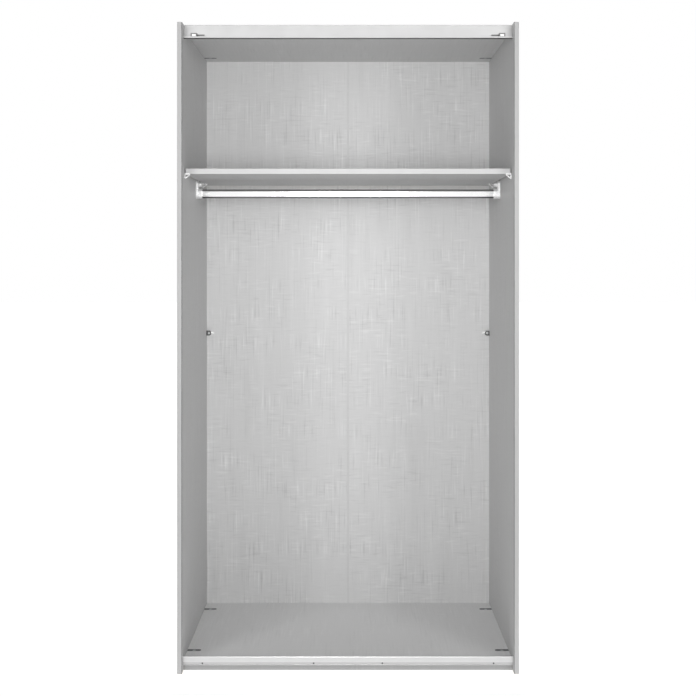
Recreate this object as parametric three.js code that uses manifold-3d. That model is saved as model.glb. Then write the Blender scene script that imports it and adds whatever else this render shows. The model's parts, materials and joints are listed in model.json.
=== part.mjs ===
// Open wardrobe carcass for sliding doors: two sides, top, floor, two-piece back, one shelf and a
// hanging rail, with the upper track and lower guide that the doors run on.
// Millimetres, +Z up. The origin is on the ground under the middle, and the open front faces -Y.

import * as THREE from 'three';
import { mergeVertices } from 'three/addons/utils/BufferGeometryUtils.js';
import Module from 'manifold-3d';

const wasm = await Module();
wasm.setup();

// ---------------------------------------------------------------- driving dimensions
const WIDTH = 1100;
const HEIGHT = 2100;
const DEPTH = 620;
const BOARD = 16;
const GAP = 0.3;

const GLIDE_HEIGHT = 3;
const GLIDE_RADIUS = 7;
const GLIDE_INSET = 40;

const EDGE_ROUND = 3;
const BACK_SETBACK = 600;
const BACK_THICKNESS = 3;
const BACK_GROOVE = 8;

const FLOOR_TOP = 38;
const PLINTH_SETBACK = 33;
const FASCIA_SETBACK = 45;

const SHELF_TOP = 1633;
const SHELF_THICKNESS = 18;
const SHELF_SETBACK = 50;
const SHELF_REAR_SETBACK = 585;
const SHELF_SIDE_GAP = 4;

const RAIL_CENTRE_Z = 1567;
const RAIL_SETBACK = 321;
const RAIL_HEIGHT = 30;
const RAIL_WIDTH = 15;
const RAIL_WALL = 1.2;

const CLAMP_Z = 1059;

const CONNECTOR_SETBACKS = { front: 115, rear: 530 };
const CONNECTOR_LENGTH = 46;
const CONNECTOR_WIDTH = 16;
const CONNECTOR_DEPTH = 12.5;

const TRACK_LIP_SETBACK = 25;
const TRACK_FACE_SETBACK = 42;
const TRACK_BOTTOM = 2054;

const GUIDE_SETBACK = 18;
const GUIDE_TOP = 53;
const GUIDE_BOTTOM = 24;
const GUIDE_SCREW_X = [-471, -111, 111, 471];

// ---------------------------------------------------------------- places worked out from them
const SIDE_OUTER = WIDTH / 2;
const SIDE_INNER = SIDE_OUTER - BOARD;
const BETWEEN = SIDE_INNER - GAP;
const FRONT_Y = -DEPTH / 2;
const setBack = (distance) => FRONT_Y + distance;
const BACK_Y = setBack(BACK_SETBACK);
const CEILING_Z = HEIGHT - BOARD;
const FLOOR_UNDER = FLOOR_TOP - BOARD;
const SHELF_UNDER = SHELF_TOP - SHELF_THICKNESS;
const SHELF_HALF = SIDE_INNER - SHELF_SIDE_GAP;
const SHELF_FRONT_Y = setBack(SHELF_SETBACK);
const RAIL_Y = setBack(RAIL_SETBACK);

const ROUND_SEGMENTS = 16;
const HOLE_SEGMENTS = 16;

// ---------------------------------------------------------------- finishes
const finish = (color, roughness, metalness) => () =>
  new THREE.MeshStandardMaterial({ color, roughness, metalness });

const melamine = finish(0xc9c9c9, 0.45, 0);
const hardboard = finish(0xcfcfcf, 0.6, 0);
const whitePlastic = finish(0xdededc, 0.4, 0);
const darkPlastic = finish(0x6b6d70, 0.5, 0);
const aluminium = finish(0xd6d6d6, 0.3, 0.9);
const chrome = finish(0xe6e6e6, 0.12, 1);
const steel = finish(0xb4b4b2, 0.35, 1);
const zinc = finish(0xa2a4a6, 0.4, 0.9);

// ---------------------------------------------------------------- shape helpers
const wardrobe = new THREE.Group();

function add(name, geometry, material, parent = wardrobe) {
  const mesh = new THREE.Mesh(geometry, material());
  mesh.name = name;
  parent.add(mesh);
  return mesh;
}

// A closed outline from corner points.
function outline(points) {
  return new THREE.Shape(points.map(([u, v]) => new THREE.Vector2(u, v)));
}

// An upright slot-shaped outline: straight sides with a half circle at each end.
function stadium(width, height, centreU, centreV) {
  const radius = width / 2;
  const straight = height / 2 - radius;
  const shape = new THREE.Shape();
  shape.absarc(centreU, centreV + straight, radius, 0, Math.PI);
  shape.absarc(centreU, centreV - straight, radius, Math.PI, 2 * Math.PI);
  shape.closePath();
  return shape;
}

const AXES = {
  // Each entry sends the outline's u, v and the extrusion direction to three row axes.
  x: new THREE.Matrix4().makeBasis(
    new THREE.Vector3(0, 1, 0), new THREE.Vector3(0, 0, 1), new THREE.Vector3(1, 0, 0)),
  y: new THREE.Matrix4().makeBasis(
    new THREE.Vector3(1, 0, 0), new THREE.Vector3(0, 0, 1), new THREE.Vector3(0, -1, 0)),
  z: new THREE.Matrix4(),
};

// Extrudes an outline along a row axis from one coordinate to a larger one.
// The outline lies in (y, z) for x, in (x, z) for y and in (x, y) for z.
function extrude(shape, axis, from, to, curveSegments = ROUND_SEGMENTS / 2) {
  const geometry = new THREE.ExtrudeGeometry(shape, {
    depth: to - from,
    bevelEnabled: false,
    curveSegments,
  });
  geometry.applyMatrix4(AXES[axis]);
  const start = axis === 'y' ? to : from;
  const shift = { x: [start, 0, 0], y: [0, start, 0], z: [0, 0, start] }[axis];
  return geometry.translate(...shift);
}

function box([x0, x1], [y0, y1], [z0, z1]) {
  const geometry = new THREE.BoxGeometry(x1 - x0, y1 - y0, z1 - z0);
  return geometry.translate((x0 + x1) / 2, (y0 + y1) / 2, (z0 + z1) / 2);
}

// A round bar along a row axis. centre holds the two other coordinates, in row order.
function bar(axis, radius, from, to, centre, segments = HOLE_SEGMENTS) {
  const geometry = new THREE.CylinderGeometry(radius, radius, to - from, segments);
  const middle = (from + to) / 2;
  if (axis === 'x') {
    return geometry.rotateZ(-Math.PI / 2).translate(middle, centre[0], centre[1]);
  }
  if (axis === 'y') {
    return geometry.translate(centre[0], middle, centre[1]);
  }
  return geometry.rotateX(Math.PI / 2).translate(centre[0], centre[1], middle);
}

// A turned piece about local +Y, from its radius and height at each step up the axis.
function turned(steps, segments = ROUND_SEGMENTS) {
  return new THREE.LatheGeometry(steps.map(([r, y]) => new THREE.Vector2(r, y)), segments);
}

function solid(geometry) {
  const bare = geometry.clone();
  bare.deleteAttribute('normal');
  bare.deleteAttribute('uv');
  const merged = mergeVertices(bare, 1e-4);
  const mesh = new wasm.Mesh({
    numProp: 3,
    vertProperties: new Float32Array(merged.getAttribute('position').array),
    triVerts: new Uint32Array(merged.getIndex().array),
  });
  return new wasm.Manifold(mesh);
}

function surface(manifold) {
  const { vertProperties, triVerts } = manifold.getMesh();
  const geometry = new THREE.BufferGeometry();
  geometry.setAttribute('position', new THREE.BufferAttribute(vertProperties, 3));
  geometry.setIndex(new THREE.BufferAttribute(triVerts, 1));
  geometry.computeVertexNormals();
  return geometry;
}

function combine(first, joined = [], cut = []) {
  let result = solid(first);
  for (const piece of joined) {
    result = result.add(solid(piece));
  }
  for (const piece of cut) {
    result = result.subtract(solid(piece));
  }
  return surface(result);
}

// The same piece for the other side of the wardrobe.
function mirrored(geometry) {
  const copy = geometry.clone().scale(-1, 1, 1);
  const index = copy.getIndex();
  for (let corner = 0; corner < index.count; corner += 3) {
    const kept = index.getX(corner);
    index.setX(corner, index.getX(corner + 1));
    index.setX(corner + 1, kept);
  }
  return copy;
}

// Adds a left-hand piece and its mirror image.
function addPair(name, leftGeometry, material) {
  add(`${name}_left`, leftGeometry, material);
  add(`${name}_right`, mirrored(leftGeometry), material);
}

// ---------------------------------------------------------------- sizes of the small fittings
const BOLT = { radius: 3, hole: 3.4, depth: 10, neck: 1.5, head: 2.8 };
const CAM_TURN_DEGREES = 165;
const CAM = {
  radius: 6, height: 9, bore: 6.3, hollow: 4.6, inset: 23, below: 0.7, roof: 1.6, cross: 0.9,
  turn: THREE.MathUtils.degToRad(CAM_TURN_DEGREES), slotEnd: THREE.MathUtils.degToRad(25),
};
const PIN = { radius: 2.5, hole: 2.9, depth: 9, fromUnder: 8 };
const SUPPORT_SETBACKS = { front: 59, rear: 485 };
const SUPPORT = { width: 14, reach: 15, flange: 2.5, tongue: 2, drop: 12, rise: 3, strut: 2.2 };
const BRACKET = { thick: 8, width: 22, cup: 14, wall: 2, play: 0.4 };
const KNOB = { radius: 7.5, length: 11.5, shank: 2.5, belowShelf: 15.5 };
const CLAMP = { radius: 9, depth: 15, recess: 6.2, seat: 12, foot: 9, footThick: 2.5, footHalf: 5 };
const CLAMP_SCREW = { shank: 2, head: 4.5, height: 3.2 };
const GUIDE_SCREW = { shank: 1.75, head: 2.7, height: 1.2, length: 33, inPanel: 23 };
const HIDDEN_DEPTH = 10;

const CONNECTOR_AXIS_DROP = CONNECTOR_DEPTH / 2;
const KNOB_Z = SHELF_UNDER - KNOB.belowShelf;
const PIN_Z = SHELF_UNDER - PIN.fromUnder;
const CLAMP_PIN_Y = BACK_Y - 8;

// ---------------------------------------------------------------- side panels
function sidePanel() {
  const backFront = BACK_Y - GAP;
  const backRear = BACK_Y + BACK_THICKNESS + GAP;
  const shape = new THREE.Shape();
  shape.moveTo(-SIDE_OUTER, -FRONT_Y);
  shape.lineTo(-SIDE_OUTER, FRONT_Y + EDGE_ROUND);
  shape.absarc(-SIDE_OUTER + EDGE_ROUND, FRONT_Y + EDGE_ROUND, EDGE_ROUND, Math.PI, 1.5 * Math.PI);
  shape.absarc(-SIDE_INNER - EDGE_ROUND, FRONT_Y + EDGE_ROUND, EDGE_ROUND, 1.5 * Math.PI, 2 * Math.PI);
  shape.lineTo(-SIDE_INNER, backFront);
  shape.lineTo(-SIDE_INNER - BACK_GROOVE, backFront);
  shape.lineTo(-SIDE_INNER - BACK_GROOVE, backRear);
  shape.lineTo(-SIDE_INNER, backRear);
  shape.lineTo(-SIDE_INNER, -FRONT_Y);
  shape.closePath();
  const board = extrude(shape, 'z', GLIDE_HEIGHT, HEIGHT, 4);

  const hole = (radius, depth, y, z) =>
    bar('x', radius, -SIDE_INNER - depth, -SIDE_INNER + 1, [y, z]);
  const holes = [
    hole(PIN.hole, HIDDEN_DEPTH + 1, RAIL_Y, KNOB_Z),
    hole(PIN.hole, PIN.depth + 1, CLAMP_PIN_Y, CLAMP_Z),
  ];
  for (const setback of Object.values(SUPPORT_SETBACKS)) {
    holes.push(hole(PIN.hole, PIN.depth + 1, setBack(setback), PIN_Z));
  }
  for (const setback of Object.values(CONNECTOR_SETBACKS)) {
    holes.push(hole(BOLT.hole, BOLT.depth + 1, setBack(setback), FLOOR_TOP - CONNECTOR_AXIS_DROP));
    holes.push(hole(BOLT.hole, BOLT.depth + 1, setBack(setback), CEILING_Z + CONNECTOR_AXIS_DROP));
  }
  return combine(board, [], holes);
}

addPair('side_panel', sidePanel(), melamine);

// ---------------------------------------------------------------- top and floor panels
// Each has a slot-shaped pocket for every connector, open at the panel's end.
function connectorPockets(faceZ, inward) {
  const far = faceZ + inward * (CONNECTOR_DEPTH + GAP);
  const near = faceZ - inward;
  const depth = [Math.min(far, near), Math.max(far, near)];
  const pockets = [];
  for (const setback of Object.values(CONNECTOR_SETBACKS)) {
    for (const side of [-1, 1]) {
      const y = setBack(setback);
      const half = CONNECTOR_WIDTH / 2 + GAP;
      const end = side * (SIDE_INNER - CONNECTOR_LENGTH + CONNECTOR_WIDTH / 2);
      const mouth = side * (SIDE_INNER + 1);
      pockets.push(box([Math.min(end, mouth), Math.max(end, mouth)], [y - half, y + half], depth));
      pockets.push(bar('z', half, ...depth, [end, y], 2 * HOLE_SEGMENTS));
    }
  }
  return pockets;
}

const topPanel = box(
  [-BETWEEN, BETWEEN],
  [setBack(FASCIA_SETBACK) + BOARD + GAP, BACK_Y - GAP],
  [CEILING_Z, HEIGHT],
);
add('top_panel', combine(topPanel, [], connectorPockets(CEILING_Z, 1)), melamine);

const GUIDE_SCREW_Z = FLOOR_TOP - BOARD / 2;
const PANEL_FRONT_Y = setBack(PLINTH_SETBACK);
const floorPanel = box([-BETWEEN, BETWEEN], [PANEL_FRONT_Y, BACK_Y - GAP], [FLOOR_UNDER, FLOOR_TOP]);
const guideHoles = GUIDE_SCREW_X.map((x) => {
  const end = PANEL_FRONT_Y + GUIDE_SCREW.inPanel;
  return bar('y', GUIDE_SCREW.shank + GAP, PANEL_FRONT_Y - 1, end, [x, GUIDE_SCREW_Z]);
});
const floorCuts = [...connectorPockets(FLOOR_TOP, -1), ...guideHoles];
add('floor_panel', combine(floorPanel, [], floorCuts), melamine);

// ---------------------------------------------------------------- plinth
const PLINTH_TOP = FLOOR_UNDER - GAP;
const REAR_PLINTH_INSET = 24;
const plinthHeight = [GLIDE_HEIGHT, PLINTH_TOP];
for (const [name, y] of [['plinth_front', PANEL_FRONT_Y], ['plinth_rear', BACK_Y - REAR_PLINTH_INSET]]) {
  add(name, box([-BETWEEN, BETWEEN], [y, y + BOARD], plinthHeight), melamine);
}

// ---------------------------------------------------------------- back: two thin panels and their joint
const JOINT = { web: 0.5, front: 4, rear: 9, flange: 1.2 };
addPair('back_panel', combine(box(
  [-SIDE_INNER - BACK_GROOVE + GAP, -JOINT.web - GAP],
  [BACK_Y, BACK_Y + BACK_THICKNESS],
  [GLIDE_HEIGHT, HEIGHT],
)), hardboard);

// The two back panels meet in an H-shaped strip, which stops short of the floor and the ceiling.
const frontFlange = [BACK_Y - GAP - JOINT.flange, BACK_Y - GAP];
const rearFlange = [BACK_Y + BACK_THICKNESS + GAP, BACK_Y + BACK_THICKNESS + GAP + JOINT.flange];
const jointOutline = outline([
  [-JOINT.front, frontFlange[0]], [JOINT.front, frontFlange[0]],
  [JOINT.front, frontFlange[1]], [JOINT.web, frontFlange[1]],
  [JOINT.web, rearFlange[0]], [JOINT.rear, rearFlange[0]],
  [JOINT.rear, rearFlange[1]], [-JOINT.rear, rearFlange[1]],
  [-JOINT.rear, rearFlange[0]], [-JOINT.web, rearFlange[0]],
  [-JOINT.web, frontFlange[1]], [-JOINT.front, frontFlange[1]],
]);
add('back_joint_strip', extrude(jointOutline, 'z', FLOOR_TOP + GAP, CEILING_Z - GAP), whitePlastic);

// ---------------------------------------------------------------- shelf
const SHELF_ROUND = 1.5;
const shelfOutline = new THREE.Shape();
shelfOutline.moveTo(setBack(SHELF_REAR_SETBACK), SHELF_UNDER);
shelfOutline.lineTo(setBack(SHELF_REAR_SETBACK), SHELF_TOP);
shelfOutline.absarc(
  SHELF_FRONT_Y + SHELF_ROUND, SHELF_TOP - SHELF_ROUND, SHELF_ROUND, Math.PI / 2, Math.PI);
shelfOutline.absarc(
  SHELF_FRONT_Y + SHELF_ROUND, SHELF_UNDER + SHELF_ROUND, SHELF_ROUND, Math.PI, 1.5 * Math.PI);
shelfOutline.closePath();
add('shelf', extrude(shelfOutline, 'x', -SHELF_HALF, SHELF_HALF, 4), melamine);

// Each shelf support is a pin in the side panel with a tongue under the shelf and a strut below it.
// The front ones also have a lip that keeps the shelf from being drawn forward.
function shelfSupport(y, withLip) {
  const wall = -BETWEEN;
  const face = wall + SUPPORT.flange;
  const tip = face + SUPPORT.reach;
  const tongueTop = SHELF_UNDER - GAP;
  const tongueUnder = tongueTop - SUPPORT.tongue;
  const wedge = outline([
    [wall, tongueUnder - SUPPORT.drop], [face, tongueUnder - SUPPORT.drop],
    [tip, tongueUnder], [tip, tongueTop],
    [face, tongueTop], [face, tongueTop + SUPPORT.rise], [wall, tongueTop + SUPPORT.rise],
  ]);
  const strutSlant = Math.hypot(SUPPORT.reach, SUPPORT.drop);
  wedge.holes.push(outline([
    [face, tongueUnder],
    [face, tongueUnder - SUPPORT.drop + SUPPORT.strut * strutSlant / SUPPORT.reach],
    [tip - SUPPORT.strut * strutSlant / SUPPORT.drop, tongueUnder],
  ]));
  const half = SUPPORT.width / 2;
  const pieces = [bar('x', PIN.radius, wall - PIN.depth, wall + 1, [y, PIN_Z])];
  if (withLip) {
    const lipFront = SHELF_FRONT_Y - GAP - SUPPORT.tongue;
    pieces.push(box([face, tip], [lipFront, y], [tongueUnder, tongueTop]));
    const lipRear = lipFront + SUPPORT.tongue;
    pieces.push(box([face, tip], [lipFront, lipRear], [tongueUnder, tongueTop + SUPPORT.rise]));
  }
  return combine(extrude(wedge, 'y', y - half, y + half), pieces);
}

addPair('shelf_support_front', shelfSupport(setBack(SUPPORT_SETBACKS.front), true), steel);
addPair('shelf_support_rear', shelfSupport(setBack(SUPPORT_SETBACKS.rear), false), steel);

// ---------------------------------------------------------------- hanging rail and its brackets
const railHalf = BETWEEN - BRACKET.thick - GAP;
const ringOf = (grow) =>
  stadium(RAIL_WIDTH + 2 * grow, RAIL_HEIGHT + 2 * grow, RAIL_Y, RAIL_CENTRE_Z);
const railOutline = ringOf(0);
railOutline.holes.push(ringOf(-RAIL_WALL));
add('hanging_rail', extrude(railOutline, 'x', -railHalf, railHalf), chrome);

function railBracket() {
  const wall = -BETWEEN;
  const face = wall + BRACKET.thick;
  const cupGrow = BRACKET.play + BRACKET.wall;
  const bottom = RAIL_CENTRE_Z - RAIL_HEIGHT / 2 - cupGrow;
  const top = SHELF_UNDER - 2 * GAP;
  const plate = stadium(BRACKET.width, top - bottom, RAIL_Y, (top + bottom) / 2);
  const cup = ringOf(cupGrow);
  cup.holes.push(ringOf(BRACKET.play));
  return combine(
    extrude(plate, 'x', wall, face),
    [extrude(cup, 'x', face - 1, face + BRACKET.cup)],
    [
      extrude(ringOf(BRACKET.play), 'x', face - GAP / 2, face + BRACKET.cup + 1),
      bar('x', KNOB.shank + GAP, wall - 1, face + 1, [RAIL_Y, KNOB_Z]),
    ],
  );
}

addPair('rail_bracket', railBracket(), chrome);

// A turned fixing along X: its shank goes into the left side panel and its head stands in the room.
function wallScrew(steps, headBase, y, z) {
  return mergeVertices(turned(steps).rotateZ(-Math.PI / 2).translate(headBase, y, z));
}

const knobBase = -BETWEEN + BRACKET.thick + GAP;
addPair('rail_bracket_screw', wallScrew([
  [0, -BRACKET.thick - HIDDEN_DEPTH], [KNOB.shank, -BRACKET.thick - HIDDEN_DEPTH],
  [KNOB.shank, 0], [KNOB.radius, 0],
  [KNOB.radius, KNOB.length - 1], [KNOB.radius - 1, KNOB.length], [0, KNOB.length],
], knobBase, RAIL_Y, KNOB_Z), steel);

// ---------------------------------------------------------------- clamps that hold the back in its grooves
// A clamp is pinned to its side panel. Its screw faces the front and bears on the back panel.
const clampRear = BACK_Y - GAP;
const clampFront = clampRear - CLAMP.depth;
const clampSeat = clampRear - CLAMP.seat;
const clampX = -BETWEEN + CLAMP.radius;

function backClamp() {
  const wall = -BETWEEN;
  const body = new THREE.Shape();
  body.moveTo(wall, CLAMP_Z - CLAMP.radius);
  body.lineTo(clampX, CLAMP_Z - CLAMP.radius);
  body.absarc(clampX, CLAMP_Z, CLAMP.radius, -Math.PI / 2, Math.PI / 2);
  body.lineTo(wall, CLAMP_Z + CLAMP.radius);
  body.closePath();
  const foot = box(
    [clampX + CLAMP.radius - 2, clampX + CLAMP.radius + CLAMP.foot],
    [clampRear - CLAMP.footThick, clampRear],
    [CLAMP_Z - CLAMP.footHalf, CLAMP_Z + CLAMP.footHalf],
  );
  const pin = bar('x', PIN.radius, wall - PIN.depth, wall + 1, [CLAMP_PIN_Y, CLAMP_Z]);
  return combine(extrude(body, 'y', clampFront, clampRear), [foot, pin], [
    bar('y', CLAMP.recess, clampFront - 1, clampSeat, [clampX, CLAMP_Z], 24),
    bar('y', CLAMP_SCREW.shank + GAP, clampSeat - 1, clampRear + 1, [clampX, CLAMP_Z]),
  ]);
}

addPair('back_clamp', backClamp(), zinc);

const clampHeadBase = clampSeat - GAP;
const clampScrewSteps = [
  [0, clampHeadBase - clampRear], [CLAMP_SCREW.shank, clampHeadBase - clampRear],
  [CLAMP_SCREW.shank, 0], [CLAMP_SCREW.head, 0],
  [CLAMP_SCREW.head, CLAMP_SCREW.height / 3], [CLAMP_SCREW.head / 2, CLAMP_SCREW.height],
  [0, CLAMP_SCREW.height],
];
const clampScrew = mergeVertices(turned(clampScrewSteps).rotateX(Math.PI));
addPair('back_clamp_screw', clampScrew.translate(clampX, clampHeadBase, CLAMP_Z), steel);

// ---------------------------------------------------------------- fascia, upper track and door stops
const TRACK = { wall: 2, face: 2.7, upstand: 4.5, topDrop: 1.5 };
add('top_fascia', box(
  [-BETWEEN, BETWEEN],
  [setBack(FASCIA_SETBACK), setBack(FASCIA_SETBACK) + BOARD],
  [TRACK_BOTTOM + TRACK.wall, HEIGHT],
), melamine);

// The doors' rollers run on the lip behind its low upstand.
const lipY = setBack(TRACK_LIP_SETBACK);
const faceY = setBack(TRACK_FACE_SETBACK);
const lipTop = TRACK_BOTTOM + TRACK.wall;
const trackOutline = outline([
  [lipY, TRACK_BOTTOM], [faceY + TRACK.face, TRACK_BOTTOM],
  [faceY + TRACK.face, HEIGHT - TRACK.topDrop], [faceY, HEIGHT - TRACK.topDrop],
  [faceY, lipTop], [lipY + TRACK.wall, lipTop],
  [lipY + TRACK.wall, TRACK_BOTTOM + TRACK.upstand], [lipY, TRACK_BOTTOM + TRACK.upstand],
]);
add('top_track', extrude(trackOutline, 'x', -BETWEEN, BETWEEN), aluminium);

// A door stop is a block in the track with a thin sprung arm.
const STOP = { outer: 510, body: 20, arm: 24, armThick: 1.6, height: 14, armHeight: 3 };
function doorStop() {
  const base = lipTop + GAP;
  const depth = [lipY + TRACK.wall + GAP, faceY - GAP];
  const middle = (depth[0] + depth[1]) / 2;
  const armBase = base + STOP.height / 2;
  const body = box([-STOP.outer, -STOP.outer + STOP.body], depth, [base, base + STOP.height]);
  const arm = box(
    [-STOP.outer + STOP.body - 1, -STOP.outer + STOP.body + STOP.arm],
    [middle, middle + STOP.armThick],
    [armBase, armBase + STOP.armHeight],
  );
  return combine(body, [arm]);
}

addPair('door_stop', doorStop(), steel);

// ---------------------------------------------------------------- lower guide rail and its screws
// In section: a rounded bead over a flat face with a screw groove, and a slot for the doors' guides.
const GUIDE = { bead: 6, slot: 5, slotFloor: 41, rearTop: 50, grooveDepth: 2.5, grooveHalf: 4.2 };
const guideFront = setBack(GUIDE_SETBACK);
const guideRear = setBack(PLINTH_SETBACK) - GAP;
const beadRadius = GUIDE.bead / 2;
const beadZ = GUIDE_TOP - beadRadius;
const guideOutline = new THREE.Shape();
guideOutline.moveTo(guideFront, GUIDE_BOTTOM);
guideOutline.lineTo(guideRear, GUIDE_BOTTOM);
guideOutline.lineTo(guideRear, GUIDE.rearTop);
guideOutline.lineTo(guideFront + GUIDE.bead + GUIDE.slot, GUIDE.rearTop);
guideOutline.lineTo(guideFront + GUIDE.bead + GUIDE.slot, GUIDE.slotFloor);
guideOutline.lineTo(guideFront + GUIDE.bead, GUIDE.slotFloor);
guideOutline.lineTo(guideFront + GUIDE.bead, beadZ);
guideOutline.absarc(guideFront + beadRadius, beadZ, beadRadius, 0, Math.PI);
guideOutline.lineTo(guideFront, GUIDE_SCREW_Z + GUIDE.grooveHalf);
guideOutline.lineTo(guideFront + GUIDE.grooveDepth, GUIDE_SCREW_Z + GUIDE.grooveHalf);
guideOutline.lineTo(guideFront + GUIDE.grooveDepth, GUIDE_SCREW_Z - GUIDE.grooveHalf);
guideOutline.lineTo(guideFront, GUIDE_SCREW_Z - GUIDE.grooveHalf);
guideOutline.closePath();
const guideThroughHoles = GUIDE_SCREW_X.map((x) =>
  bar('y', GUIDE_SCREW.shank + GAP, guideFront - 1, guideRear + 1, [x, GUIDE_SCREW_Z]));
add(
  'bottom_guide_rail',
  combine(extrude(guideOutline, 'x', -BETWEEN, BETWEEN), [], guideThroughHoles),
  aluminium,
);

// A low domed head in the groove and a long shank into the floor panel's edge.
const guideScrewSteps = [
  [0, -GUIDE_SCREW.length], [GUIDE_SCREW.shank, -GUIDE_SCREW.length + GUIDE_SCREW.shank],
  [GUIDE_SCREW.shank, 0], [GUIDE_SCREW.head, 0], [GUIDE_SCREW.head, GUIDE_SCREW.height / 2],
  [GUIDE_SCREW.head / 2, GUIDE_SCREW.height], [0, GUIDE_SCREW.height],
];
GUIDE_SCREW_X.forEach((x, number) => {
  const geometry = mergeVertices(turned(guideScrewSteps, 12).rotateX(Math.PI));
  geometry.translate(x, guideFront + GUIDE.grooveDepth - GAP / 2, GUIDE_SCREW_Z);
  add(`guide_rail_screw_${number + 1}`, geometry, steel);
});

// ---------------------------------------------------------------- panel connectors
// A connector sits in its panel's pocket, and its cam draws in the head of a bolt in the side panel.
// Each one is made at the origin for the floor's left end: the side's inner face is x = 0,
// the floor is z = 0 and the panel lies along +X.
function connectorHousing() {
  const half = CONNECTOR_WIDTH / 2;
  const end = CONNECTOR_LENGTH - half - GAP;
  const top = -CAM.below / 2;
  const body = new THREE.Shape();
  body.moveTo(2 * GAP, -half);
  body.lineTo(end, -half);
  body.absarc(end, 0, half, -Math.PI / 2, Math.PI / 2);
  body.lineTo(2 * GAP, half);
  body.closePath();
  return combine(extrude(body, 'z', -CONNECTOR_DEPTH, top, 8), [], [
    bar('z', CAM.bore, top - CAM.height - 2 * GAP - CAM.below, 1, [CAM.inset, 0], 24),
    bar('x', BOLT.hole, -1, CAM.inset, [0, -CONNECTOR_AXIS_DROP]),
  ]);
}

function connectorBolt() {
  const headAt = CAM.inset;
  const steps = [
    [0, -BOLT.depth], [BOLT.radius, -BOLT.depth], [BOLT.radius, 2], [BOLT.neck, 2],
    [BOLT.neck, headAt - BOLT.head], [BOLT.head, headAt - BOLT.head / 2],
    [BOLT.head, headAt + BOLT.head / 2], [0, headAt + BOLT.head / 2],
  ];
  return mergeVertices(turned(steps, 12).rotateZ(-Math.PI / 2).translate(0, 0, -CONNECTOR_AXIS_DROP));
}

// The cam is a cup upside down. A slot round its wall lets it turn about the bolt's neck, and the
// notch at the slot's end is where the bolt's head goes in and out.
function connectorCam() {
  const top = -CAM.below;
  const bottom = top - CAM.height;
  const outside = CAM.radius + 1;
  const slotFrom = Math.PI - CAM.slotEnd;
  const slotShape = new THREE.Shape();
  slotShape.moveTo(0, 0);
  slotShape.lineTo(outside * Math.cos(slotFrom), outside * Math.sin(slotFrom));
  slotShape.absarc(0, 0, outside, slotFrom, Math.PI + CAM.turn + CAM.slotEnd);
  slotShape.closePath();
  const neckHalf = BOLT.neck + 0.5;
  const headHalf = BOLT.head + 0.4;
  const notch = box([0, outside], [-headHalf, headHalf], [bottom - 1, -CONNECTOR_AXIS_DROP + headHalf]);
  notch.rotateZ(Math.PI + CAM.turn);
  const crossHalf = CAM.radius - 1.5;
  const bladeHalf = 0.6;
  const crossDepth = [top - CAM.cross, top + 1];
  return combine(bar('z', CAM.radius, bottom, top, [0, 0], 24), [], [
    bar('z', CAM.hollow, bottom - 1, top - CAM.roof, [0, 0], HOLE_SEGMENTS),
    extrude(slotShape, 'z', -CONNECTOR_AXIS_DROP - neckHalf, -CONNECTOR_AXIS_DROP + neckHalf),
    notch,
    box([-crossHalf, crossHalf], [-bladeHalf, bladeHalf], crossDepth),
    box([-bladeHalf, bladeHalf], [-crossHalf, crossHalf], crossDepth),
  ]);
}

const housingGeometry = connectorHousing();
const boltGeometry = connectorBolt();
const camGeometry = connectorCam();
for (const [level, faceZ] of [['floor', FLOOR_TOP], ['ceiling', CEILING_Z]]) {
  for (const [place, setback] of Object.entries(CONNECTOR_SETBACKS)) {
    for (const [side, sign] of [['left', -1], ['right', 1]]) {
      const group = new THREE.Group();
      group.position.set(sign * SIDE_INNER, setBack(setback), faceZ);
      group.rotation.set(level === 'ceiling' ? Math.PI : 0, 0, side === 'right' ? Math.PI : 0);
      wardrobe.add(group);
      const label = `${level}_${place}_${side}`;
      add(`connector_${label}`, housingGeometry, darkPlastic, group);
      add(`connector_bolt_${label}`, boltGeometry, zinc, group);
      add(`connector_cam_${label}`, camGeometry, zinc, group).position.x = CAM.inset;
    }
  }
}

// ---------------------------------------------------------------- glides under the side panels
const glideX = (SIDE_OUTER + SIDE_INNER) / 2;
const glideSteps = [
  [0, 0], [GLIDE_RADIUS - 1, 0], [GLIDE_RADIUS, 1], [GLIDE_RADIUS, GLIDE_HEIGHT - GAP],
  [0, GLIDE_HEIGHT - GAP],
];
for (const [place, y] of [['front', setBack(GLIDE_INSET)], ['rear', -setBack(GLIDE_INSET)]]) {
  for (const [side, sign] of [['left', -1], ['right', 1]]) {
    const geometry = mergeVertices(turned(glideSteps).rotateX(Math.PI / 2));
    geometry.translate(sign * glideX, y, 0);
    add(`glide_${place}_${side}`, geometry, darkPlastic);
  }
}

export default wardrobe;
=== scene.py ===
import json
import math

import bmesh
import bpy
from mathutils import Matrix, Vector


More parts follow.
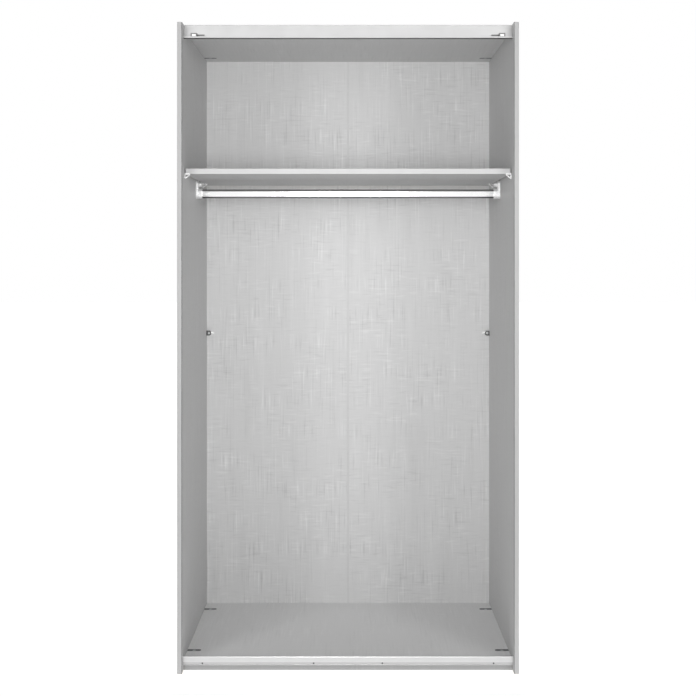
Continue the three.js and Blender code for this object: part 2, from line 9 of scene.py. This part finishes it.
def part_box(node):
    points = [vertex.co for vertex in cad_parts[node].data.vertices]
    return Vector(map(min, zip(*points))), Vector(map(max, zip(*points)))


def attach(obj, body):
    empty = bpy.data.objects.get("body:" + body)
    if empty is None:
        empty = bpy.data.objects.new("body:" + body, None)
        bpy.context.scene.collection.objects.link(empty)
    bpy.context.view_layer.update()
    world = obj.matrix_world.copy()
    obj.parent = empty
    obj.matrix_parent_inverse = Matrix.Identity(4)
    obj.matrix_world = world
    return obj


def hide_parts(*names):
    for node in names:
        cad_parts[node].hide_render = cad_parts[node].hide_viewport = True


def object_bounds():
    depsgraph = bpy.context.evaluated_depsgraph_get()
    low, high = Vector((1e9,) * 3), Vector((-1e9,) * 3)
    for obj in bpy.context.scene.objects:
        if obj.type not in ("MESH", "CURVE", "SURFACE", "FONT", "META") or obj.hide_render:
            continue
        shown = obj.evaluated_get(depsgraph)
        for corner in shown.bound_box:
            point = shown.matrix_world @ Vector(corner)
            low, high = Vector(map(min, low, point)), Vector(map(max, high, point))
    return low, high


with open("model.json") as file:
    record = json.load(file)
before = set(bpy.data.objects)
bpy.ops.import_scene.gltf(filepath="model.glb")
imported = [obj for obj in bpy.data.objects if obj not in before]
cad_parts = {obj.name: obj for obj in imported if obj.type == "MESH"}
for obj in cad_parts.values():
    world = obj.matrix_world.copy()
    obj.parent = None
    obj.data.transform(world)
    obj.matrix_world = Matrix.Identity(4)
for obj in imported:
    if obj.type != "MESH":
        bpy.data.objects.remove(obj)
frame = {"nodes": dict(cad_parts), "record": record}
CAD_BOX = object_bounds()

# ---------------------------------------------------------------- sizes, in metres
MM = 0.001

CAMERA_DISTANCE = 3.4      # from the wardrobe's front
CAMERA_HEIGHT = 1.331
CAMERA_LENS = 54.7         # this and the sensor are in millimetres
CAMERA_SENSOR = 36.0
CAMERA_SHIFT = -0.125      # in frame widths

BOARD_BEVEL = 0.5 * MM
BACK_BEVEL = 0.2 * MM
STRIP_BEVEL = 0.3 * MM
METAL_BEVEL = 0.35 * MM
FINE_BEVEL = 0.15 * MM

RAIL_WALL = 1.2 * MM
RAIL_EDGE = 0.3 * MM
RAIL_HALF_TURN = 28        # faces round each half of the oval
TURNED_SEGMENTS = 40
KNOB = {"head": 11.5 * MM, "shank": 2.5 * MM, "soft": 0.8 * MM}
CLAMP_SCREW = {"head": 3.2 * MM, "shank": 2.0 * MM, "soft": 0.3 * MM, "socket": 0.9 * MM}
CLAMP_FOOT_INSET = 8.5 * MM        # from the screw's axis to where the bright foot starts
STOP_PAD = {"border": 4.6 * MM, "sunk": 0.8 * MM}
GUIDE_GROOVE_ABOVE_SCREW = 1.6 * MM

WELD = 0.001 * MM
FLAT_ANGLE = math.radians(0.5)     # faces that meet at less are one flat face
SMOOTH_ANGLE = math.radians(35)
LOOKS_ALONG = 0.9                  # the least cosine for a face that looks in a direction

FRONT_Y = CAD_BOX[0].y
SIDES = ("left", "right")
LEVELS = ("floor", "ceiling")
PLACES = ("front", "rear")


# ---------------------------------------------------------------- material helpers
class Look:
    """A Principled material, with short ways to add and join nodes."""

    def __init__(self, name, color, roughness, metallic=0.0):
        self.material = bpy.data.materials.new(name)
        self.material.use_nodes = True
        self.nodes = self.material.node_tree.nodes
        self.links = self.material.node_tree.links
        self.shader = self.nodes["Principled BSDF"]
        self.shader.inputs["Base Color"].default_value = (*color, 1.0)
        self.shader.inputs["Roughness"].default_value = roughness
        self.shader.inputs["Metallic"].default_value = metallic
        self.color = color

    def add(self, kind, inputs=(), **settings):
        node = self.nodes.new("ShaderNode" + kind)
        for key, value in settings.items():
            setattr(node, key, value)
        for key, value in dict(inputs).items():
            self.feed(node.inputs[key], value)
        return node

    def feed(self, socket, value):
        if isinstance(value, bpy.types.NodeSocket):
            self.links.new(value, socket)
        else:
            socket.default_value = value

    def place(self, scale=1.0, offset=(0.0, 0.0, 0.0)):
        """Object coordinates in metres, times one scale or a scale for each axis."""
        if isinstance(scale, float):
            scale = (scale, scale, scale)
        where = self.add("TexCoord").outputs["Object"]
        return self.add("Mapping", {
            "Vector": where, "Scale": scale, "Location": offset,
        }).outputs["Vector"]

    def noise(self, scale, offset=(0.0, 0.0, 0.0), detail=2.0):
        return self.add("TexNoise", {
            "Vector": self.place(scale, offset), "Scale": 1.0, "Detail": detail,
        }).outputs["Fac"]

    def span(self, value, from_low, from_high, to_low=0.0, to_high=1.0):
        return self.add("MapRange", {
            "Value": value, "From Min": from_low, "From Max": from_high,
            "To Min": to_low, "To Max": to_high,
        }).outputs["Result"]

    def maths(self, operation, first, second):
        node = self.add("Math", operation=operation)
        self.feed(node.inputs[0], first)
        self.feed(node.inputs[1], second)
        return node.outputs["Value"]

    def mix(self, factor, first, second):
        node = self.add("Mix", data_type="RGBA")
        self.feed(node.inputs["Factor"], factor)
        self.feed(node.inputs["A"], first)
        self.feed(node.inputs["B"], second)
        return node.outputs["Result"]

    def shade(self, amount):
        """The base colour made lighter or darker by a share of itself."""
        return tuple(min(1.0, c * (1.0 + amount)) for c in self.color) + (1.0,)

    def paint(self, color):
        self.feed(self.shader.inputs["Base Color"], color)

    def gloss(self, value):
        self.feed(self.shader.inputs["Roughness"], value)

    def bump(self, height, distance, strength=1.0):
        normal = self.add("Bump", {"Height": height, "Distance": distance, "Strength": strength})
        self.feed(self.shader.inputs["Normal"], normal.outputs["Normal"])


def along(plane, u, v, rest=1.0):
    """A scale for the three axes from the two that span a plane such as 'xz'."""
    values = {"x": rest, "y": rest, "z": rest}
    values[plane[0]] = u
    values[plane[1]] = v
    return (values["x"], values["y"], values["z"])


def linen(name, plane, color, roughness, contrast):
    """Linen-print board: fine crossed threads, and longer light and dark slubs both ways."""
    look = Look(name, color, roughness)

    def sparse(scale, offset, depth):
        """Noise that stays near zero but for its peaks and hollows, which reach depth."""
        raw = look.span(look.noise(scale, offset, detail=0.0), 0.22, 0.78, -1.0, 1.0)
        cubed = look.maths("MULTIPLY", raw, look.maths("MULTIPLY", raw, raw))
        return look.maths("MULTIPLY", cubed, depth)

    # Slubs 6 mm wide and 110 mm tall, others 45 mm wide and 6 mm tall, and broad upright streaks.
    density = look.span(look.noise(6.0, (2.0, 9.0, 4.0)), 0.38, 0.6, 0.35, 1.3)
    tall = sparse(along(plane, 170.0, 9.0), (3.1, 7.7, 1.3), contrast)
    wide = sparse(along(plane, 22.0, 170.0), (41.0, 17.0, 23.0), contrast * 0.55)
    upright = look.maths("MULTIPLY", density, tall)
    level = look.maths("MULTIPLY", density, wide)
    streak = sparse(along(plane, 30.0, 2.5), (11.0, 5.0, 9.0), contrast * 0.3)

    # Threads about 1 mm across, both ways.
    warp = look.noise(along(plane, 900.0, 60.0), detail=1.0)
    weft = look.noise(along(plane, 60.0, 900.0), detail=1.0)
    threads = look.maths("MAXIMUM", warp, weft)
    fine = look.span(threads, 0.35, 0.75, -0.015, 0.015)

    tone = look.maths("ADD", look.maths("ADD", upright, level), look.maths("ADD", streak, fine))
    share = look.maths("ADD", tone, 1.0)
    scaled = look.add("VectorMath", {0: color, "Scale": share}, operation="SCALE")
    look.paint(scaled.outputs["Vector"])
    look.bump(threads, 0.12 * MM, 0.35)
    look.gloss(look.span(threads, 0.4, 0.7, roughness - 0.05, roughness + 0.06))
    return look.material


def edge_band(name, color, roughness):
    """Smooth plastic edging, with a faint ripple along it from the trimming."""
    look = Look(name, color, roughness)
    look.paint(look.mix(look.noise(6.0), look.shade(-0.02), look.shade(0.02)))
    ripple = look.noise((140.0, 140.0, 9.0), detail=1.0)
    look.bump(ripple, 0.06 * MM, 0.4)
    look.gloss(look.span(ripple, 0.3, 0.7, roughness - 0.05, roughness + 0.08))
    return look.material


def chipboard(name):
    """A raw sawn edge: tan chips of several shades, rough and pitted."""
    look = Look(name, (0.56, 0.43, 0.28), 0.85)
    cells = look.add("TexVoronoi", {"Vector": look.place(420.0), "Scale": 1.0})
    chips = look.span(cells.outputs["Color"], 0.1, 0.9)
    look.paint(look.mix(chips, look.shade(-0.3), look.shade(0.3)))
    pits = look.maths("ADD", cells.outputs["Distance"], look.noise(900.0))
    look.bump(pits, 0.3 * MM, 0.7)
    return look.material


def moulded(name, color, roughness):
    """Moulded plastic with a fine spark-eroded grain."""
    look = Look(name, color, roughness)
    grain = look.noise(2200.0)
    look.paint(look.mix(look.noise(60.0), look.shade(-0.05), look.shade(0.05)))
    look.bump(grain, 0.04 * MM, 0.5)
    look.gloss(look.span(grain, 0.3, 0.7, roughness - 0.06, roughness + 0.06))
    return look.material


def drawn_metal(name, color, roughness, lines=(8.0, 1800.0, 1800.0), depth=0.02 * MM, rim=None):
    """Metal with fine drawing lines along X and soft handling marks.

    rim is the share of its brightness that it keeps where it faces up or down, a painted dark
    reflection there.
    """
    look = Look(name, color, roughness, metallic=1.0)
    streaks = look.noise(lines, detail=3.0)
    marks = look.noise(25.0)
    tone = look.mix(marks, look.shade(-0.04), look.shade(0.03))
    if rim:
        look.shader.inputs["Specular Tint"].default_value = (rim, rim, rim, 1.0)
        # Painted reflection: darker where the surface faces up or down, for the dark surroundings
        # that the tube would mirror.
        normal = look.add("TexCoord").outputs["Normal"]
        upward = look.add("SeparateXYZ", {"Vector": normal}).outputs["Z"]
        level = look.span(look.maths("ABSOLUTE", upward, 0.0), 0.35, 0.7)
        tone = look.mix(level, tone, look.shade(rim - 1.0))
    look.paint(tone)
    look.bump(streaks, depth, 0.4)
    drawn = look.span(streaks, 0.3, 0.7, roughness * 0.8, roughness * 1.2)
    handled = look.span(marks, 0.3, 0.8, 0.0, 0.04)
    look.gloss(look.maths("ADD", drawn, handled))
    return look.material


def cast_metal(name, color, roughness, metallic=1.0):
    """Die-cast or plated metal: a faint orange-peel surface."""
    look = Look(name, color, roughness, metallic)
    peel = look.noise(700.0)
    look.paint(look.mix(look.noise(90.0), look.shade(-0.08), look.shade(0.05)))
    look.bump(peel, 0.015 * MM, 0.4)
    look.gloss(look.span(peel, 0.3, 0.7, roughness - 0.07, roughness + 0.08))
    return look.material


def grey(value):
    return (value, value, value)


PRINT = 0.04               # contrast of the linen print
BACK_PRINT = 0.11

SIDE_LINEN = linen("side_melamine", "yz", grey(0.535), 0.55, contrast=PRINT)
TOP_LINEN = linen("top_melamine", "xy", grey(0.69), 0.5, contrast=PRINT)
# The shelf's underside: the top board's linen made darker, painted shade under the shelf.
UNDERSIDE_PAINTED_SHADE = linen("underside_melamine_painted_shade", "xy", grey(0.5), 0.55, contrast=PRINT)
FLOOR_LINEN = linen("floor_melamine", "xy", grey(0.78), 0.5, contrast=PRINT)
FRONT_LINEN = linen("front_melamine", "xz", grey(0.37), 0.42, contrast=PRINT)
BACK_LINEN = linen("back_linen", "xz", grey(0.76), 0.45, contrast=BACK_PRINT)
EDGING = edge_band("edging", grey(0.53), 0.35)
# Near black: painted shade on the inner rounding of the side panels' front edges.
EDGE_PAINTED_SHADE = edge_band("edging_painted_shade", grey(0.1), 0.5)
SHELF_EDGING = edge_band("shelf_edging", grey(0.68), 0.35)
CHIPBOARD = chipboard("chipboard_edge")
STRIP_PLASTIC = moulded("strip_plastic", grey(0.72), 0.45)
DARK_PLASTIC = moulded("dark_plastic", (0.11, 0.115, 0.12), 0.5)
ALUMINIUM = drawn_metal("aluminium", grey(0.55), 0.34)
GUIDE_ALUMINIUM = drawn_metal("guide_aluminium", grey(0.66), 0.34)
# A darker, rougher copy of the guide's aluminium: painted shade in and below its groove.
GUIDE_RECESS_PAINTED_SHADE = drawn_metal("guide_recess_shaded", grey(0.54), 0.4)
# Near-black copy of the aluminium for the top track's underside: painted shade.
ALUMINIUM_PAINTED_SHADE = drawn_metal("aluminium_underside_painted_shade", grey(0.16), 0.45)
# Its rim paints a dark reflection along the rail's top and bottom.
CHROME = drawn_metal("chrome", grey(0.93), 0.10, depth=0.006 * MM, rim=0.06)
SATIN_CHROME = cast_metal("satin_chrome", grey(0.95), 0.3, metallic=0.5)
DARK_STEEL = cast_metal("dark_screw", grey(0.10), 0.4)
ZINC = cast_metal("zinc", (0.50, 0.51, 0.52), 0.36)
DARK_ZINC = cast_metal("dark_zinc", grey(0.16), 0.4)


# ---------------------------------------------------------------- mesh helpers
BODY_OF = {
    node: body
    for body, nodes in frame["record"]["behaviour"]["bodies"].items()
    for node in nodes
}


def as_mesh(bm, name, materials):
    mesh = bpy.data.meshes.new(name)
    bm.to_mesh(mesh)
    bm.free()
    for material in materials:
        mesh.materials.append(material)
    return mesh


def finish_piece(node, bm, materials):
    """Makes the piece that stands for a CAD node."""
    name = node + "_look"
    mesh = as_mesh(bm, name, materials)
    piece = bpy.data.objects.new(name, mesh)
    bpy.context.scene.collection.objects.link(piece)
    mesh.shade_smooth()
    mesh.set_sharp_from_angle(angle=SMOOTH_ANGLE)
    weighted = piece.modifiers.new("flat_faces_stay_flat", "WEIGHTED_NORMAL")
    weighted.keep_sharp = True
    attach(piece, BODY_OF[node])
    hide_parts(node)
    return piece


def facing(rules, otherwise):
    """A choice of material index by the direction that a face looks in."""
    def choose(face):
        for direction, index in rules:
            if face.normal.dot(direction) > LOOKS_ALONG:
                return index
        return otherwise
    return choose


def refined(node, bevel, materials, choose=lambda face: 0, segments=2):
    """A copy of a CAD node with softened edges. choose gives each face's material index."""
    bm = bmesh.new()
    bm.from_mesh(frame["nodes"][node].data)
    bmesh.ops.remove_doubles(bm, verts=bm.verts, dist=WELD)
    bmesh.ops.dissolve_limit(bm, angle_limit=FLAT_ANGLE, verts=bm.verts, edges=bm.edges)
    for face in bm.faces:
        face.material_index = choose(face)
    sharp = [e for e in bm.edges if e.is_manifold and e.calc_face_angle(0.0) > SMOOTH_ANGLE]
    bmesh.ops.bevel(
        bm, geom=sharp, offset=bevel, offset_type="OFFSET", segments=segments,
        profile=0.5, affect="EDGES", clamp_overlap=True, material=-1)
    bmesh.ops.recalc_face_normals(bm, faces=bm.faces)
    return finish_piece(node, bm, materials)


def turned(steps, place):
    """A closed shape turned about its own Z from (radius, height) steps, sent to its place."""
    bm = bmesh.new()
    angles = [2.0 * math.pi * k / TURNED_SEGMENTS for k in range(TURNED_SEGMENTS)]
    rings = []
    for radius, height in steps:
        if radius == 0.0:
            rings.append([bm.verts.new((0.0, 0.0, height))])
        else:
            rings.append([
                bm.verts.new((radius * math.cos(a), radius * math.sin(a), height))
                for a in angles
            ])
    for low, high in zip(rings, rings[1:]):
        for k in range(TURNED_SEGMENTS):
            after = (k + 1) % TURNED_SEGMENTS
            corners = [low[k % len(low)], low[after % len(low)],
                       high[after % len(high)], high[k % len(high)]]
            unique = list(dict.fromkeys(corners))
            if len(unique) > 2:
                bm.faces.new(unique)
    bmesh.ops.recalc_face_normals(bm, faces=bm.faces)
    bm.transform(place)
    return bm


# ---------------------------------------------------------------- boards
X, Y, Z = Vector((1, 0, 0)), Vector((0, 1, 0)), Vector((0, 0, 1))


def side_panels():
    """Each has a thin line of painted shade, near black, where its edging's rounding meets the
    inner face.
    """
    materials = [SIDE_LINEN, EDGING, CHIPBOARD, EDGE_PAINTED_SHADE]
    flat = facing([(X, 0), (-X, 0), (-Z, 2), (Y, 2)], otherwise=1)
    for side, inside in (("left", X), ("right", -X)):
        # Faces of the rounding that turn towards the inside get the painted shade.
        def choose(face):
            towards_room = face.normal.dot(inside)
            return 3 if 0.5 < towards_room < 0.999 else flat(face)
        refined(f"side_panel_{side}", BOARD_BEVEL, materials, choose)


def flat_boards():
    choose = facing([(Z, 0), (-Z, 0), (X, 2), (-X, 2), (Y, 2)], otherwise=1)
    for node, surface in (("top_panel", TOP_LINEN), ("floor_panel", FLOOR_LINEN)):
        refined(node, BOARD_BEVEL, [surface, EDGING, CHIPBOARD], choose)


def upright_boards():
    choose = facing([(Y, 0), (-Y, 0), (X, 2), (-X, 2)], otherwise=1)
    for node in ("top_fascia", "plinth_front", "plinth_rear"):
        refined(node, BOARD_BEVEL, [FRONT_LINEN, EDGING, CHIPBOARD], choose)


def shelf():
    materials = [TOP_LINEN, SHELF_EDGING, CHIPBOARD, UNDERSIDE_PAINTED_SHADE]
    # Faces that look down get the darker linen, painted shade under the shelf.
    choose = facing([(Z, 0), (-Z, 3), (Y, 2)], otherwise=1)
    refined("shelf", BOARD_BEVEL, materials, choose)


def back():
    for side in SIDES:
        refined(f"back_panel_{side}", BACK_BEVEL, [BACK_LINEN])
    refined("back_joint_strip", STRIP_BEVEL, [STRIP_PLASTIC])


# ---------------------------------------------------------------- rail, supports, clamps
def hanging_rail():
    """The oval tube, with enough points round it to look round, and open ends."""
    low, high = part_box("hanging_rail")
    centre = (low + high) / 2.0
    wall, edge = RAIL_WALL, RAIL_EDGE
    bm = bmesh.new()

    def ring(x, inset):
        radius = (high.y - low.y) / 2.0 - inset
        straight = (high.z - low.z) / 2.0 - inset - radius
        points = []
        for sign in (1.0, -1.0):
            for k in range(RAIL_HALF_TURN + 1):
                angle = math.pi * k / RAIL_HALF_TURN + (0.0 if sign > 0 else math.pi)
                points.append(bm.verts.new((
                    x,
                    centre.y + radius * math.cos(angle),
                    centre.z + sign * straight + radius * math.sin(angle),
                )))
        return points

    rings = [
        ring(low.x, edge), ring(low.x + edge, 0.0),
        ring(high.x - edge, 0.0), ring(high.x, edge),
        ring(high.x, wall - edge), ring(high.x - edge, wall),
        ring(low.x + edge, wall), ring(low.x, wall - edge),
    ]
    for here, there in zip(rings, rings[1:] + rings[:1]):
        for k in range(len(here)):
            after = (k + 1) % len(here)
            bm.faces.new((here[k], here[after], there[after], there[k]))
    bmesh.ops.recalc_face_normals(bm, faces=bm.faces)
    finish_piece("hanging_rail", bm, [CHROME])


def wall_turn(side):
    """A turn that sends a fixing's own Z out of the side wall, into the wardrobe."""
    return Matrix.Rotation(math.pi / 2 if side == "left" else -math.pi / 2, 4, "Y")


def turned_piece(node, steps, turn, tip, material):
    """A turned fixing for a CAD node. Its own zero is the tip of its shank."""
    finish_piece(node, turned(steps, Matrix.Translation(tip) @ turn), [material])


def rail_brackets():
    """The brackets, and in each a screw with a round knob for a head."""
    shank, soft = KNOB["shank"], KNOB["soft"]
    for side in SIDES:
        refined(f"rail_bracket_{side}", METAL_BEVEL, [SATIN_CHROME], segments=3)
        node = f"rail_bracket_screw_{side}"
        low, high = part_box(node)
        centre = (low + high) / 2.0
        tip = (low.x if side == "left" else high.x, centre.y, centre.z)
        length, head = high.x - low.x, (high.z - low.z) / 2.0
        base = length - KNOB["head"]
        turned_piece(node, [
            (0.0, 0.0), (shank - soft, 0.0), (shank, soft), (shank, base),
            (head - soft / 2, base), (head, base + soft / 2),
            (head, length - 2.0 * soft), (head - 0.3 * soft, length - soft),
            (head - soft, length - 0.3 * soft), (head - 2.0 * soft, length),
            (head * 0.45, length), (head * 0.4, length - soft), (0.0, length - soft),
        ], wall_turn(side), tip, SATIN_CHROME)


def shelf_supports():
    for place in PLACES:
        for side in SIDES:
            refined(f"shelf_support_{place}_{side}", METAL_BEVEL, [SATIN_CHROME], segments=3)


def back_clamps():
    """Dark bodies with a bright foot, and in each a bright screw that faces the front."""
    forward = Matrix.Rotation(math.pi / 2, 4, "X")
    shank, soft = CLAMP_SCREW["shank"], CLAMP_SCREW["soft"]
    for side in SIDES:
        node = f"back_clamp_screw_{side}"
        low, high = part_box(node)
        centre = (low + high) / 2.0
        length, head = high.y - low.y, (high.z - low.z) / 2.0
        base = length - CLAMP_SCREW["head"]
        socket = length - CLAMP_SCREW["socket"]
        turned_piece(node, [
            (0.0, 0.0), (shank * 0.6, 0.0), (shank, shank * 0.4), (shank, base),
            (head - soft, base), (head, base + soft), (head * 0.95, base + 1.4 * MM),
            (head * 0.75, base + 2.5 * MM), (head * 0.45, length),
            (head * 0.35, length), (head * 0.3, socket), (0.0, socket),
        ], forward, (centre.x, high.y, centre.z), SATIN_CHROME)

        foot_start = abs(centre.x) - CLAMP_FOOT_INSET
        refined(f"back_clamp_{side}", METAL_BEVEL, [DARK_ZINC, SATIN_CHROME], segments=3,
                choose=lambda face: int(abs(face.calc_center_median().x) < foot_start))


# ---------------------------------------------------------------- track, guide and stops
def tracks():
    """The upper track, with painted shade on its underside, and the lower guide, rougher and with
    painted shade in and below its groove.
    """
    # Faces that look down get the near-black copy, painted shade under the track.
    refined("top_track", METAL_BEVEL, [ALUMINIUM, ALUMINIUM_PAINTED_SHADE],
            facing([(-Z, 1)], otherwise=0))
    # Faces below the groove's top get the darker copy, painted shade in the recess.
    groove_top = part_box("guide_rail_screw_1")[1].z + GUIDE_GROOVE_ABOVE_SCREW
    refined("bottom_guide_rail", METAL_BEVEL, [GUIDE_ALUMINIUM, GUIDE_RECESS_PAINTED_SHADE],
            lambda face: int(face.calc_center_median().z < groove_top))
    for number in range(1, 5):
        refined(f"guide_rail_screw_{number}", FINE_BEVEL, [DARK_STEEL])
    for side in SIDES:
        door_stop(f"door_stop_{side}")


def door_stop(node):
    """A dark cast stop, with a bright pad sunk in the front of its block."""
    piece = refined(node, METAL_BEVEL, [DARK_ZINC, SATIN_CHROME])
    bm = bmesh.new()
    bm.from_mesh(piece.data)
    forward = [face for face in bm.faces if face.normal.dot(-Y) > LOOKS_ALONG]
    front = max(forward, key=lambda face: face.calc_area())
    bmesh.ops.inset_individual(
        bm, faces=[front], thickness=STOP_PAD["border"], depth=-STOP_PAD["sunk"])
    front.material_index = 1
    bm.to_mesh(piece.data)
    bm.free()


# ---------------------------------------------------------------- connectors and feet
def connectors():
    for level in LEVELS:
        for place in PLACES:
            for side in SIDES:
                label = f"{level}_{place}_{side}"
                refined(f"connector_{label}", METAL_BEVEL, [DARK_PLASTIC])
                refined(f"connector_bolt_{label}", FINE_BEVEL, [ZINC])
                refined(f"connector_cam_{label}", FINE_BEVEL, [ZINC])


def glides():
    for place in PLACES:
        for side in SIDES:
            refined(f"glide_{place}_{side}", FINE_BEVEL, [DARK_PLASTIC])


side_panels()
flat_boards()
upright_boards()
shelf()
back()
hanging_rail()
rail_brackets()
shelf_supports()
back_clamps()
tracks()
connectors()
glides()


# ---------------------------------------------------------------- stage, light and camera
WORLD_SEEN = 1.0           # the world's brightness to the camera and in reflections
WORLD_DIFFUSE = 0.0        # and the light that it throws on the object
FLOOR_REACH = 30.0
FLOOR_DROP = 0.2 * MM
FLOOR_ALBEDO = 0.6
FLOOR_GLOW = 0.7           # the floor's own brightness at the wardrobe's front
FRONT_GLOW = 0.34          # and some way in front of it
FULL_GLOW = 1.0            # and far off, both ways
POWER = {"key": 26.0, "high": 5.5, "front": 25.5, "above": 7.0}


def studio_floor():
    """A pale floor, which fades to white behind the wardrobe and far in front of it."""
    height = CAD_BOX[0].z - FLOOR_DROP
    reach = FLOOR_REACH
    bm = bmesh.new()
    corners = [(-reach, -reach), (reach, -reach), (reach, reach), (-reach, reach)]
    bm.faces.new([bm.verts.new((x, y, height)) for x, y in corners])

    look = Look("studio_floor", grey(FLOOR_ALBEDO), 0.8)
    look.paint(look.mix(look.noise(1.5), look.shade(-0.01), look.shade(0.01)))
    look.shader.inputs["Emission Color"].default_value = (1.0, 1.0, 1.0, 1.0)
    depth = look.add("SeparateXYZ", {"Vector": look.place()}).outputs["Y"]
    near = look.span(depth, FRONT_Y - 1.2, FRONT_Y - 0.2, FRONT_GLOW, FLOOR_GLOW)
    behind = look.span(depth, FRONT_Y - 0.2, FRONT_Y + 0.6, 0.0, FULL_GLOW - FLOOR_GLOW)
    beyond = look.span(depth, FRONT_Y - 8.5, FRONT_Y - 3.5, FULL_GLOW - FRONT_GLOW, 0.0)
    glow = look.maths("ADD", near, look.maths("ADD", behind, beyond))
    look.feed(look.shader.inputs["Emission Strength"], glow)

    mesh = as_mesh(bm, "studio_floor", [look.material])
    floor = bpy.data.objects.new("studio_floor", mesh)
    bpy.context.scene.collection.objects.link(floor)


def studio_world():
    """A white surround that is seen but throws no light."""
    world = bpy.data.worlds.new("studio_world")
    world.use_nodes = True
    bpy.context.scene.world = world
    nodes, links = world.node_tree.nodes, world.node_tree.links
    background = nodes["Background"]
    background.inputs["Color"].default_value = (1.0, 1.0, 1.0, 1.0)
    rays = nodes.new("ShaderNodeLightPath")
    strength = nodes.new("ShaderNodeMapRange")
    strength.inputs["To Min"].default_value = WORLD_SEEN
    strength.inputs["To Max"].default_value = WORLD_DIFFUSE
    links.new(rays.outputs["Is Diffuse Ray"], strength.inputs["Value"])
    links.new(strength.outputs["Result"], background.inputs["Strength"])


def softbox(name, place, target, size, power, spread=math.pi):
    light = bpy.data.lights.new(name, "AREA")
    light.shape = "RECTANGLE"
    light.size, light.size_y = size
    light.energy = power
    light.spread = spread
    lamp = bpy.data.objects.new(name, light)
    lamp.location = place
    aim = Vector(target) - Vector(place)
    lamp.rotation_mode = "QUATERNION"
    lamp.rotation_quaternion = aim.to_track_quat("-Z", "Y")
    lamp.visible_camera = False
    bpy.context.scene.collection.objects.link(lamp)


def lights():
    """Two pairs of lamps at the sides, one straight in front and one over the top."""
    target = (0.0, 0.0, 1.0)
    for side, sign in (("left", -1.0), ("right", 1.0)):
        softbox(f"key_{side}", (sign * 2.5, FRONT_Y - 2.5, 1.8), target, (1.0, 1.6),
                POWER["key"])
        softbox(f"high_{side}", (sign * 1.7, FRONT_Y - 2.4, 2.2), target, (1.0, 1.4),
                POWER["high"])
    softbox("front", (0.0, FRONT_Y - 2.9, 1.42), target, (0.6, 0.8), POWER["front"])
    softbox("above", (0.0, 0.9, 3.9), (0.0, 0.0, 2.1), (1.6, 1.0), POWER["above"],
            spread=math.radians(60.0))


def camera():
    data = bpy.data.cameras.new("camera")
    data.lens = CAMERA_LENS
    data.sensor_width = CAMERA_SENSOR
    data.shift_y = CAMERA_SHIFT
    eye = bpy.data.objects.new("camera", data)
    eye.location = (0.0, FRONT_Y - CAMERA_DISTANCE, CAMERA_HEIGHT)
    eye.rotation_euler = (math.pi / 2, 0.0, 0.0)
    bpy.context.scene.collection.objects.link(eye)
    bpy.context.scene.camera = eye
    bpy.context.scene.view_settings.view_transform = "Standard"


studio_floor()
studio_world()
lights()
camera()
